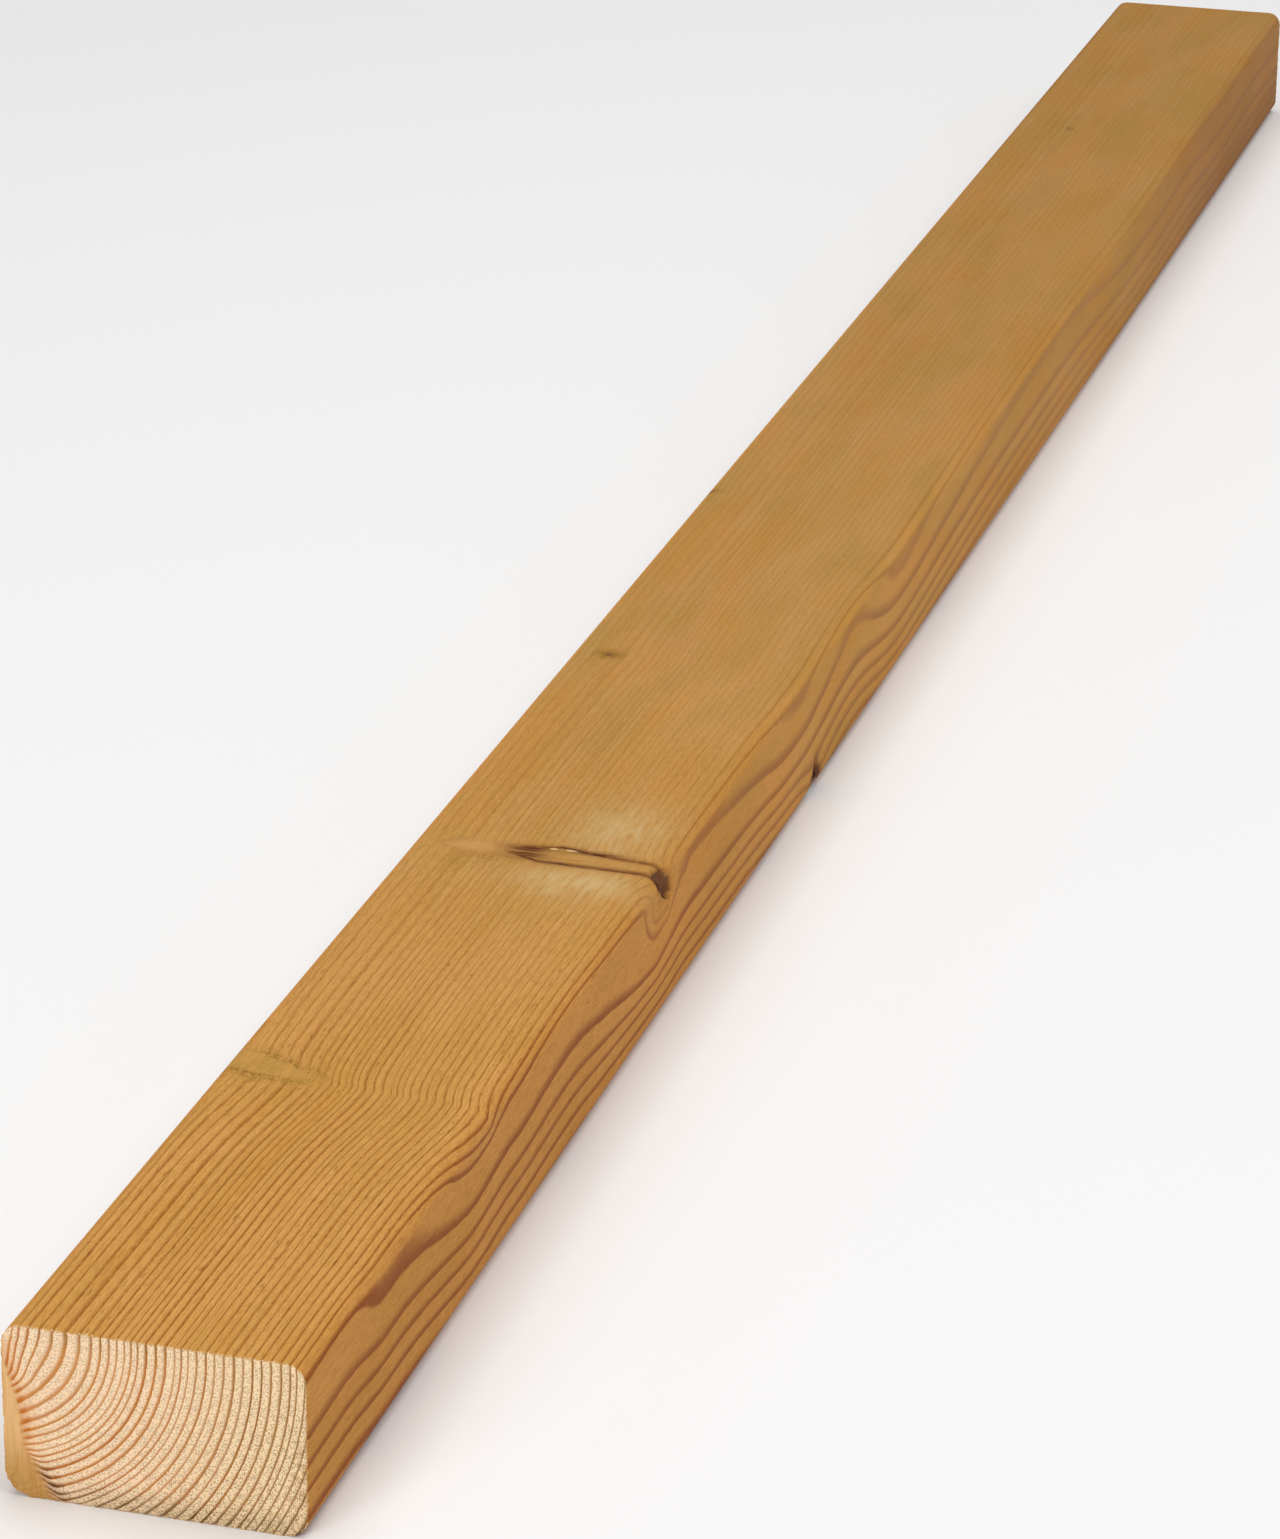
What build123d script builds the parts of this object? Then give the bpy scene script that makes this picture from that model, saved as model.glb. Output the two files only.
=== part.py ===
from build123d import *
import os

# A planed length of treated softwood, lying flat on its broad face.
# +X runs across the width, +Y along the length, +Z up. The origin is at the middle of the lower face.
# Millimetres.

# Stock
length = 1800.0
width = 100.0
thickness = 60.0

# Arrises: three eased by the planer, and the lower left one worn down where a knot meets it
arris_radius = 5.0
worn_arris_radius = 9.5

# Spike knot: a branch sawn along its length, lying across the upper face as far as the right arris.
# Its bark has shrunk away along both flanks, which leaves two narrow checks. A lift is how far the axis of
# a hollow stands off the wood that it is cut into.
spike_knot_from_end = 411.0
spike_knot_width = 11.0
check_length = 58.0
check_width = 2.6
check_lift = 0.3
check_from_right_edge = 3.0

# Bark pocket: the hollow where the spike knot breaks out through the upper right arris
bark_pocket_length = 20.0
bark_pocket_width = 9.0
bark_pocket_lift = 1.5

# Edge knot: a small dead knot that breaks out through the lower right arris
edge_knot_from_end = 648.0
edge_knot_length = 18.0
edge_knot_width = 7.0
edge_knot_lift = 1.0


def planed_section():
    """The rounded rectangle that the planer leaves, standing on the lower face."""
    outline = Rectangle(width, thickness, align=(Align.CENTER, Align.MIN))
    lower_corners, upper_corners = outline.vertices().group_by(Axis.Y)
    lower_right = lower_corners.sort_by(Axis.X)[-1]
    eased = fillet([lower_right, *upper_corners], arris_radius)
    lower_left = eased.vertices().group_by(Axis.Y)[0].sort_by(Axis.X)[0]
    return fillet(lower_left, worn_arris_radius)


def spindle(spindle_length, spindle_width):
    """A pointed, round hollow with its axis along X, as a shrinkage check or a bark pocket opens."""
    tip_reach = spindle_length / 2
    flank = SagittaArc((-tip_reach, 0), (tip_reach, 0), spindle_width / 2)
    chord = Line((tip_reach, 0), (-tip_reach, 0))
    return revolve(make_face([flank, chord]), Axis.X)


def arris_hollow(hollow_length, hollow_width, lift, along_length, corner_height, lean):
    """A spindle laid across a right-hand arris, lifted off the rounded wood so that it only scoops it."""
    bisector = Vector(1, 0, 0).rotate(Axis.Y, lean - 90)
    arris_centre = Vector(width / 2 - arris_radius, along_length, corner_height)
    middle = arris_centre + bisector * (arris_radius + lift)
    return Pos(middle) * Rot(0, lean, 0) * spindle(hollow_length, hollow_width)


near_end = -length / 2
stock = extrude(Plane.XZ * planed_section(), amount=length / 2, both=True)

# The two checks along the flanks of the spike knot
spike_knot_y = near_end + spike_knot_from_end
check_x = width / 2 - check_from_right_edge - check_length / 2
check_z = thickness + check_lift
knot_checks = [
    Pos(check_x, spike_knot_y + side * spike_knot_width / 2, check_z) * spindle(check_length, check_width)
    for side in (-1, 1)
]

# The pockets on the right-hand arrises
upper_arris_angle = 45.0
lower_arris_angle = 135.0
bark_pocket = arris_hollow(
    bark_pocket_length,
    bark_pocket_width,
    bark_pocket_lift,
    spike_knot_y,
    thickness - arris_radius,
    upper_arris_angle,
)
edge_knot_pocket = arris_hollow(
    edge_knot_length,
    edge_knot_width,
    edge_knot_lift,
    near_end + edge_knot_from_end,
    arris_radius,
    lower_arris_angle,
)

plank = stock - knot_checks - bark_pocket - edge_knot_pocket
plank.label = "plank"

os.makedirs("parts", exist_ok=True)
export_step(plank, "parts/plank.step")
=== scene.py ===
import math

import bpy
import numpy as np
from mathutils import Matrix, Vector


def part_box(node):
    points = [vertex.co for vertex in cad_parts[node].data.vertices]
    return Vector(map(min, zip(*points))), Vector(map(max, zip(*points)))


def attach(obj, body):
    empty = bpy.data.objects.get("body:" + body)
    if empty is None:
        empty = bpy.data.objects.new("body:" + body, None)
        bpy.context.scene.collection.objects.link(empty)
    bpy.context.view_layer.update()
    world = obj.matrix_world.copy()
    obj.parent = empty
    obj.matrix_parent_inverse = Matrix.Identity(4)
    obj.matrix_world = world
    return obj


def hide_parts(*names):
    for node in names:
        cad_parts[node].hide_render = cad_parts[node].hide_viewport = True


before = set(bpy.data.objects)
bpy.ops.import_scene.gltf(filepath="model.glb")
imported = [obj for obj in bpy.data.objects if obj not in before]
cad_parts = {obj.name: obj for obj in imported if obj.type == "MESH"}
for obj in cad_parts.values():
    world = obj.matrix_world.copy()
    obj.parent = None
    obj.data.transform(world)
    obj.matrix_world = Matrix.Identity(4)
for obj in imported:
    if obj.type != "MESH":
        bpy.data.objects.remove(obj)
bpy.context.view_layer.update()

# A planed length of treated pine, lying flat, with growth rings that run through it as they grew.
# Sizes and places are in millimetres: x across, y from the near end, z up from the resting face.
MM = 0.001
low_corner, high_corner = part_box("plank")
width, length, thickness = (high_corner - low_corner) / MM
near_end = low_corner.y / MM

# Arrises: three eased by the planer, and the lower left one worn down by a knot
arris_radius = 7.0
worn_arris_radius = 9.5

# Faint ripples that the planer's knives leave along the faces
knife_step = 2.7

# Mesh of the stock: cells of the section, and rows along the length. The rows close up where the wood is
# carved, as (start, end, step).
section_cell = 1.0
merge_share = 0.02
plain_row_step = 12.0
close_rows = (
    (0.0, 12.0, 2.0),
    (176.0, 226.0, 2.5),
    (384.0, 402.0, 2.0),
    (402.0, 404.5, 0.36),
    (404.5, 407.0, 0.36),
    (407.0, 414.3, 0.8),
    (414.3, 416.8, 0.36),
    (416.8, 419.3, 0.36),
    (419.3, 436.0, 2.4),
    (612.0, 640.0, 2.0),
    (640.0, 656.0, 0.8),
    (656.0, 672.0, 4.0),
    (1788.0, 1800.0, 2.0),
)

# How near counts as being at a row, or on a sawn end
row_slack = 1e-3
end_slack = 0.01

# Keeps a divisor off zero
tiny = 1e-6

# Growth of the stem: its pith lies just outside the upper left arris, and each year adds a ring. The stem
# grew faster below, so the middle of its rings sinks as far as "sag_reach" out from the pith, and a little
# more in its outer years.
pith_x = -51.0
pith_z = 62.0
ring_sag = 5.5
sag_reach = 40.0
outer_sag = 2.2
outer_sag_start = 70.0
outer_sag_end = 100.0
faster_below = 0.02
yearly_growth = (
    3.4, 2.2, 2.2, 3.2, 3.6, 4.3, 4.6, 4.3, 3.9, 2.9, 2.8, 2.5, 2.5,
    2.2, 2.1, 2.9, 3.2, 3.2, 2.9, 2.1, 2.1, 2.9, 3.1, 2.7, 3.1, 3.4,
    2.8, 3.1, 2.9, 3.1, 3.3, 2.9, 1.9, 2.8, 2.5, 2.45, 2.9, 4.2, 4.0, 4.0,
)

# How far the stem is swollen at each place along it, at "swell_radius" out from the pith. Nearer the pith
# it is less, in proportion, and further out it is more, up to "swell_limit" times as much.
swell_radius = 100.0
swell_limit = 1.1
stem_swell = (
    (0, -0.1), (54, -0.1), (68, 0.4), (98, 0.5), (116, 0.85), (143, 1.75), (168, 2.55), (196, 2.2),
    (210, 1.95), (230, 2.0), (255, 1.6), (295, 1.35), (325, 1.9), (350, 2.2), (380, 2.5), (415, 2.7),
    (440, 2.3), (468, 2.65), (497, 3.0), (538, 3.5), (565, 4.05), (584, 4.6), (604, 4.9), (630, 4.9),
    (661, 4.1), (690, 3.3), (712, 3.0), (730, 3.2), (757, 4.2), (778, 5.0), (804, 5.3), (836, 5.0),
    (880, 4.4), (936, 3.75), (1000, 3.3), (1100, 3.0), (1190, 3.0), (1248, 3.5), (1300, 4.1), (1400, 4.5),
    (1500, 4.0), (1600, 4.6), (1700, 4.1), (1800, 4.4),
)

# Branches. Each one leaves the pith at "start" and points at "azimuth" degrees round from +X. It leans
# along the stem by "lean" for each millimetre out. "girth" is its half thickness, "pull" how far it draws
# the rings outwards and "dive" how far they turn back at its flank, each as (distance out, amount).
# "before" and "after" are how far along the stem the pull is felt. "beside" is how far round the stem it is
# felt, from the flank of the branch or, with "pull_from_heart", from its heart. "tone" runs from 0 for a
# pale knot to 1 for a dark one. The knots that come out below or on the left start from "hidden_knot".
hidden_knot = dict(lean=-0.4, before=40.0, after=10.0, beside=9.0, tone=0.7)
branches = {
    "near_end_knot": dict(
        start=0.0, azimuth=-90.0, lean=0.0, before=30.0, after=30.0, beside=8.5, tone=0.1,
        pull_from_heart=True,
        girth=((5, 0), (12.3, 1.7), (20, 5.3), (30, 7.8), (40, 8.6), (46, 11), (54, 15.3), (60, 18)),
        pull=(
            (0, 0), (7.2, 4), (12.3, 9), (15.5, 11.8), (18, 11.5),
            (20.4, 8), (23.6, 5), (28.8, 2.4), (36.5, 1.5), (56.5, 3),
        ),
        dive=((0, 0), (36, 0), (44, 2.5), (60, 5)),
    ),
    "green_knot": dict(
        start=209.0, azimuth=2.5, lean=-0.4, before=38.0, after=8.0, beside=7.5, tone=0.0,
        girth=((0, 9), (20, 7), (32, 4), (42, 0)),
        pull=((0, 1.0), (15, 4.0), (45, 5.5), (75, 5.0), (110, 4.6)),
    ),
    "spike_knot": dict(
        start=412.5, azimuth=0.0, lean=-0.06, before=12.0, after=4.0, beside=9.0, tone=0.15,
        girth=((12, 0), (19, 4), (25, 6.2), (40, 7.2), (60, 9), (75, 7.2), (110, 7)),
        pull=((0, 0.5), (60, 1.2), (88, 1.8), (100, 3.8), (110, 4.6)),
    ),
    "swelling_under_spike": dict(
        start=402.0, azimuth=-15.0, lean=0.0, before=58.0, after=30.0, beside=13.0, tone=0.0,
        girth=((10, 0), (110, 0)),
        pull=((0, 0.0), (70, 0.0), (104, 2.1)),
    ),
    "small_knot": dict(
        start=626.0, azimuth=9.0, lean=-0.1, before=20.0, after=10.0, beside=8.0, tone=0.3,
        girth=((10, 0), (18, 3), (27, 0)),
        pull=((0, 1.0), (20, 1.5), (110, 0.0)),
    ),
    "edge_knot": dict(
        start=655.0, azimuth=-26.3, lean=-0.13, before=20.0, after=20.0, beside=8.0, tone=0.9,
        girth=((20, 0), (60, 2), (120, 4)),
        pull=((0, 0.0), (110, 2.0)),
    ),
    "first_lower_knot": dict(
        hidden_knot, start=238.0, azimuth=-58.0,
        girth=((0, 1), (40, 7), (80, 9)),
        pull=((0, 2.0), (70, 4.5)),
    ),
    "second_lower_knot": dict(
        hidden_knot, start=842.0, azimuth=-47.0, lean=-0.35,
        girth=((0, 1), (40, 8), (90, 10)),
        pull=((0, 2.0), (70, 5.0)),
    ),
    "left_edge_knot": dict(
        hidden_knot, start=1046.0, azimuth=-86.0, tone=0.3,
        girth=((2, 0), (30, 6), (60, 9)),
        pull=((0, 2.0), (60, 4.0)),
    ),
    "third_lower_knot": dict(
        hidden_knot, start=1282.0, azimuth=-62.0,
        girth=((0, 1), (40, 6), (80, 8)),
        pull=((0, 2.0), (70, 4.0)),
    ),
    "fourth_lower_knot": dict(
        hidden_knot, start=1672.0, azimuth=-50.0,
        girth=((0, 1), (40, 8), (90, 10)),
        pull=((0, 2.0), (70, 4.5)),
    ),
}

# How a branch is felt: its lean eases off over "lean_reach", its pull starts near the pith and, past the
# branch, fades in a quick and a slow part. "far_off" stands for a knot or check that is nowhere near.
lean_reach = 120.0
pull_starts_within = 6.0
quick_share = 0.6
slow_fade = 7.0
dive_reach = 2.2
far_off = 30.0

# Checks: two cracks along the flanks of the spike knot, as (x, y) along the upper face. Each one opens from
# its left tip, runs out a little past its right end, and reaches "check_skirt" below the arris.
near_check = ((-9, 409.5), (2.5, 404.8), (20, 404.2), (46, 403.6))
far_check = ((-9, 415), (2, 418.5), (8, 420), (14, 419), (21, 416.8), (31, 415.4), (46, 413.5))
check_half_width = 0.75
check_depth = 1.7
check_rim = 0.15
check_tip_before = 3.0
check_tip_after = 8.0
check_run_out = 4.0
check_skirt = 1.0

# Rows that are bent to run along the two checks: where the bending starts and ends along the plank, how
# deep it is felt, and where it comes in from the left
near_check_row = 404.5
far_check_row = 416.8
bend_start = 392.0
bend_end = 432.0
bend_depth = 14.0
bend_full_depth = 3.0
bend_left = -40.0
bend_full_left = -14.0

# Bark pocket: a slanting hollow where the spike knot breaks out through the upper right arris. Its height
# is measured over the arris, down from its middle. Its far side is brown bark and its near side black
# painted shade, and the painted shade changes between two shares of its half width.
bark_pocket_place = 409.0
bark_pocket_slant = 0.75
bark_pocket_half_width = 8.2
bark_pocket_drop = 5.2
bark_pocket_half_height = 7.8
bark_pocket_depth = 3.0
bark_pocket_reach_in = 2.0
bark_pocket_reach_down = 16.0
bark_pocket_far_side = 0.42
bark_pocket_painted_shade_start = -0.15
bark_pocket_painted_shade_end = 0.55
bark_pocket_dark_within = 0.35

# Edge knot: a dead knot on the lower right arris, whose hollow narrows upwards like a flame
edge_knot_place = 648.0
edge_knot_half_width = 9.2
edge_knot_narrowing = 0.4
edge_knot_tip = 1.0
edge_knot_middle = 1.5
edge_knot_half_height = 14.0
edge_knot_reach_in = 10.0
edge_knot_full_in = 5.0
edge_knot_depth = 1.8
edge_knot_dark = 0.76
edge_knot_dark_within = 0.5

# Stains and marks of the upper and right faces, as (centre, reach, strength)
green_stains = (
    ((-34, 202, 60), (19, 13, 20), 1.0),
    ((-20, 397, 60), (14, 6, 20), 0.9),
    ((-36, 420, 60), (9, 6, 20), 0.6),
    ((-33, 624, 60), (9, 16, 20), 0.6),
    ((-45, 820, 60), (9, 22, 20), 0.5),
    ((-41, 965, 60), (6, 12, 20), 0.6),
    ((42, 393, 60), (8, 7, 10), 0.8),
)
pale_patches = (
    ((22, 388, 60), (24, 13, 12), 1.0),
    ((24, 442, 60), (16, 22, 12), 0.9),
)
peach_patches = (((-25, 413, 60), (10, 6, 8), 1.0),)
red_marks = (
    ((-3, 415.2, 60), (9, 3.0, 4), 1.0),
    ((-4, 409.2, 60), (8, 3.4, 4), 1.0),
    ((22, 417.2, 60), (11, 2, 4), 0.9),
    ((26, 404, 60), (14, 1.6, 4), 0.5),
)
bare_chips = (((5, 417.6, 60), (1.8, 0.9, 2), 1.0), ((12, 417.8, 60), (2.6, 0.9, 2), 1.0))
dark_spots = (
    ((-32.5, 624, 60), (2.4, 3.0, 4), 0.36),
    ((-17, 189, 60), (1.2, 1.2, 4), 0.3),
    ((-23, 191, 60), (1.0, 1.4, 4), 0.3),
    ((-18, 1500, 60), (3, 5, 4), 0.25),
    ((50, 649, 5), (8, 8.5, 6.5), 0.72),
    ((50, 649, 17), (6, 5, 5), 0.16),
)

# Saw marks: how deep the rims of the ends are nicked, deeper on the right and at the bottom, where the saw
# came out, and shallower at the far end
saw_seed = 7
saw_exit_reach = 3.0
saw_exit_nick = 0.7
saw_entry_nick = 0.35
far_end_nick = 0.4

# Bake map, in shares of its width and height: a strip of the four sides, and beside it the two ends. The
# strip's seam is at "seam_angle" round the section, which is measured a little past it.
seam_angle = math.radians(-149.0)
strip_corner = (0.005, 0.003)
strip_size = (0.675, 0.994)
first_end_corner = (0.705, 0.005)
end_size = (0.29, 0.49)
second_end_up = 0.5
seam_overlap = 0.1
outline_steps = 2000


# Growth


def flowing(value, stations):
    """Runs through (place, amount) stations along a smooth curve."""
    places, amounts = np.array(stations, float).T
    slopes = np.gradient(amounts, places)
    step = np.clip(np.searchsorted(places, value, side="right") - 1, 0, len(places) - 2)
    span = places[step + 1] - places[step]
    share = np.clip((value - places[step]) / span, 0.0, 1.0)
    rising = share * share * (3.0 - 2.0 * share)
    bend = slopes[step] * (1.0 - share) - slopes[step + 1] * share
    chord = amounts[step] + (amounts[step + 1] - amounts[step]) * rising
    return chord + span * share * (1.0 - share) * bend


def straight(value, stations):
    """Runs through (place, amount) stations in straight lines."""
    places, amounts = np.array(stations, float).T
    return np.interp(value, places, amounts)


def smooth_step(value, start, end):
    """Rises from 0 at start to 1 at end, level at both."""
    share = np.clip((value - start) / (end - start), 0.0, 1.0)
    return share * share * (3.0 - 2.0 * share)


def ring_middle(x, z):
    """Height of the middle of the ring that passes through each point."""
    from_pith = np.hypot(x - pith_x, z - pith_z)
    sunk = ring_sag * smooth_step(from_pith, 0.0, sag_reach)
    sunk = sunk + outer_sag * smooth_step(from_pith, outer_sag_start, outer_sag_end)
    return pith_z - sunk


def branch_push(branch, out, side, along, girth):
    """How far a branch draws the rings outwards at each point, less what they turn back at its flank."""
    gap = np.maximum(np.abs(along) - girth, 0.0)
    off = np.maximum(np.abs(side) - girth, 0.0)
    quick = np.exp(-gap / branch["after"])
    slow = np.exp(-gap / (slow_fade * branch["after"]))
    fading = quick_share * quick + (1.0 - quick_share) * slow
    felt = np.where(along < 0, np.exp(-((gap / branch["before"]) ** 2)), fading)
    felt = felt * np.minimum(out / pull_starts_within, 1.0)
    sideways = np.abs(side) if "pull_from_heart" in branch else off
    push = straight(out, branch["pull"]) * np.exp(-((sideways / branch["beside"]) ** 2))
    if "dive" in branch:
        push = push - straight(out, branch["dive"]) * np.exp(-((off / dive_reach) ** 2))
    return felt * push


def grow_wood(x, y, z):
    """The ring and grain coordinates of each point, and its depth, heart distance and tone in a knot."""
    across = x - pith_x
    above = z - ring_middle(x, z)
    plain_radius = np.hypot(across, above)
    radius = plain_radius - faster_below * above
    angle = np.arctan2(above, across)
    pushed_out = flowing(y, stem_swell) * np.minimum(radius / swell_radius, swell_limit)
    knot_depth = np.full(len(x), -far_off)
    knot_heart = np.zeros(len(x))
    knot_tone = np.zeros(len(x))
    for branch in branches.values():
        turn = angle - math.radians(branch["azimuth"])
        out = np.maximum(plain_radius * np.cos(turn), 0.0)
        side = plain_radius * np.sin(turn)
        along = y - branch["start"] - branch["lean"] * out * np.exp(-out / lean_reach)
        girth = straight(out, branch["girth"])
        from_heart = np.hypot(along, side)
        depth = np.where((out > 0) & (girth > 0), girth - from_heart, -far_off)
        knot_heart = np.where(depth > knot_depth, from_heart, knot_heart)
        knot_tone = np.where(depth > knot_depth, branch["tone"], knot_tone)
        knot_depth = np.maximum(knot_depth, depth)
        pushed_out = pushed_out + branch_push(branch, out, side, along, girth)
    grown_radius = radius - pushed_out
    ring_edges = np.concatenate(([0.0], np.cumsum(yearly_growth)))
    ring = np.interp(grown_radius, ring_edges, np.arange(len(ring_edges)))
    grain = np.stack((grown_radius, angle * plain_radius, y), axis=1)
    return ring, grain, np.stack((knot_depth, knot_heart, knot_tone), axis=1)


# Node trees


class Signal:
    """A number that a node tree works out, so that a finish can be written as sums."""

    def __init__(self, tree, socket):
        self.tree = tree
        self.socket = socket

    def maths(self, operation, *others):
        """The result of a Math node on this signal and the others."""
        node = self.tree.nodes.new("ShaderNodeMath")
        node.operation = operation
        for socket, value in zip(node.inputs, (self, *others)):
            feed(self.tree, socket, value)
        return Signal(self.tree, node.outputs[0])

    def __add__(self, other):
        return self.maths("ADD", other)

    def __sub__(self, other):
        return self.maths("SUBTRACT", other)

    def __rsub__(self, other):
        return self.maths("MULTIPLY", -1.0).maths("ADD", other)

    def __mul__(self, other):
        return self.maths("MULTIPLY", other)

    def __truediv__(self, other):
        return self.maths("DIVIDE", other)

    __radd__ = __add__
    __rmul__ = __mul__

    def rise(self, start, end):
        """A smooth step from 0 at start to 1 at end."""
        node = self.tree.nodes.new("ShaderNodeMapRange")
        node.interpolation_type = "SMOOTHSTEP"
        feed(self.tree, node.inputs["Value"], self)
        feed(self.tree, node.inputs["From Min"], start)
        feed(self.tree, node.inputs["From Max"], end)
        return Signal(self.tree, node.outputs["Result"])


def feed(tree, socket, value):
    """Gives a socket a value, a signal or another node's output."""
    if isinstance(value, Signal):
        tree.links.new(value.socket, socket)
    elif isinstance(value, bpy.types.NodeSocket):
        tree.links.new(value, socket)
    else:
        socket.default_value = value


def add_node(tree, kind, inputs=None, **settings):
    """Adds a node with its settings, and feeds its inputs."""
    node = tree.nodes.new(kind)
    for name, value in settings.items():
        setattr(node, name, value)
    for key, value in (inputs or {}).items():
        feed(tree, node.inputs[key], value)
    return node


def grow_mesh(name, carrier_mesh, tree, values):
    """Runs a node tree on a carrier mesh and returns what it makes as a plain mesh."""
    carrier = bpy.data.objects.new(name, carrier_mesh)
    bpy.context.scene.collection.objects.link(carrier)
    modifier = carrier.modifiers.new(name, "NODES")
    modifier.node_group = tree
    for item in tree.interface.items_tree:
        if item.in_out == "INPUT" and item.name in values:
            modifier[item.identifier] = values[item.name]
    evaluated = carrier.evaluated_get(bpy.context.evaluated_depsgraph_get())
    mesh = bpy.data.meshes.new_from_object(evaluated)
    carrier.modifiers.remove(modifier)
    bpy.data.objects.remove(carrier)
    mesh.name = name
    return mesh


def new_tree(name, inputs):
    """An empty geometry node tree with its named inputs."""
    tree = bpy.data.node_groups.new(name, "GeometryNodeTree")
    tree.interface.new_socket("Geometry", in_out="INPUT", socket_type="NodeSocketGeometry")
    for label, socket_type in inputs:
        tree.interface.new_socket(label, in_out="INPUT", socket_type=socket_type)
    tree.interface.new_socket("Geometry", in_out="OUTPUT", socket_type="NodeSocketGeometry")
    given = tree.nodes.new("NodeGroupInput").outputs
    result = tree.nodes.new("NodeGroupOutput").inputs["Geometry"]
    return tree, given, result


def rounded_section(tree, stock_width, stock_thickness, eased_radius, worn_radius, cell):
    """The section, as a grid whose corner squares are drawn in to quarter rounds."""
    grid = add_node(
        tree,
        "GeometryNodeMeshGrid",
        {
            "Size X": stock_width,
            "Size Y": stock_thickness,
            "Vertices X": (stock_width / cell).maths("ROUND") + 1,
            "Vertices Y": (stock_thickness / cell).maths("ROUND") + 1,
        },
    )
    position = add_node(tree, "GeometryNodeInputPosition")
    split = add_node(tree, "ShaderNodeSeparateXYZ", {"Vector": position.outputs[0]})
    u = Signal(tree, split.outputs["X"])
    v = Signal(tree, split.outputs["Y"])
    lower_left = u.maths("LESS_THAN", 0.0) * v.maths("LESS_THAN", 0.0)
    radius = eased_radius + lower_left * (worn_radius - eased_radius)
    centre_u = stock_width / 2 - radius
    centre_v = stock_thickness / 2 - radius
    corner_u = u.maths("ABSOLUTE") - centre_u
    corner_v = v.maths("ABSOLUTE") - centre_v
    in_corner = corner_u.maths("MINIMUM", corner_v).maths("GREATER_THAN", 0.0)
    reach = (corner_u * corner_u + corner_v * corner_v).maths("SQRT")
    drawn_in = corner_u.maths("MAXIMUM", corner_v) / reach.maths("MAXIMUM", tiny * MM)
    squeeze = in_corner * (drawn_in - 1) + 1
    round_u = u.maths("SIGN") * (centre_u + corner_u * squeeze)
    round_v = v.maths("SIGN") * (centre_v + corner_v * squeeze)
    place = add_node(tree, "ShaderNodeCombineXYZ", {"X": round_u, "Y": round_v})
    return add_node(
        tree,
        "GeometryNodeSetPosition",
        {"Geometry": grid.outputs["Mesh"], "Position": place.outputs[0]},
    )


def planed_sides(tree, row_line, section):
    """The sides: the outline of the section swept along the rows."""
    # An edge that has only one face is on the outline
    neighbours = add_node(tree, "GeometryNodeInputMeshEdgeNeighbors")
    on_rim = Signal(tree, neighbours.outputs["Face Count"]).maths("COMPARE", 1.0, 0.1)
    outline = add_node(
        tree, "GeometryNodeMeshToCurve", {"Mesh": section.outputs[0], "Selection": on_rim}
    )
    upright = add_node(
        tree, "GeometryNodeTransform", {"Geometry": outline.outputs[0], "Rotation": (math.pi, 0.0, 0.0)}
    )
    rows = add_node(tree, "GeometryNodeMeshToCurve", {"Mesh": row_line})
    return add_node(
        tree, "GeometryNodeCurveToMesh", {"Curve": rows.outputs[0], "Profile Curve": upright.outputs[0]}
    )


def sawn_ends(tree, row_line, section, stock_thickness):
    """The ends: the section itself, stood up at both ends of the rows, and marked as sawn."""
    row_reach = add_node(tree, "GeometryNodeBoundBox", {"Geometry": row_line})
    position = add_node(tree, "GeometryNodeInputPosition")
    lying = add_node(tree, "ShaderNodeSeparateXYZ", {"Vector": position.outputs[0]})
    height = Signal(tree, lying.outputs["Y"]) + stock_thickness / 2
    ends = []
    for corner in ("Min", "Max"):
        at_end = add_node(tree, "ShaderNodeSeparateXYZ", {"Vector": row_reach.outputs[corner]})
        place = add_node(
            tree,
            "ShaderNodeCombineXYZ",
            {"X": lying.outputs["X"], "Y": at_end.outputs["Y"], "Z": height},
        )
        end = add_node(
            tree, "GeometryNodeSetPosition", {"Geometry": section.outputs[0], "Position": place.outputs[0]}
        )
        ends.append(end)
    far_end_face = add_node(tree, "GeometryNodeFlipFaces", {"Mesh": ends[1].outputs[0]})
    both_ends = add_node(tree, "GeometryNodeJoinGeometry")
    tree.links.new(ends[0].outputs[0], both_ends.inputs[0])
    tree.links.new(far_end_face.outputs[0], both_ends.inputs[0])
    return add_node(
        tree,
        "GeometryNodeStoreNamedAttribute",
        {"Geometry": both_ends.outputs[0], "Name": "sawn", "Value": True},
        data_type="BOOLEAN",
        domain="FACE",
    )


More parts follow.
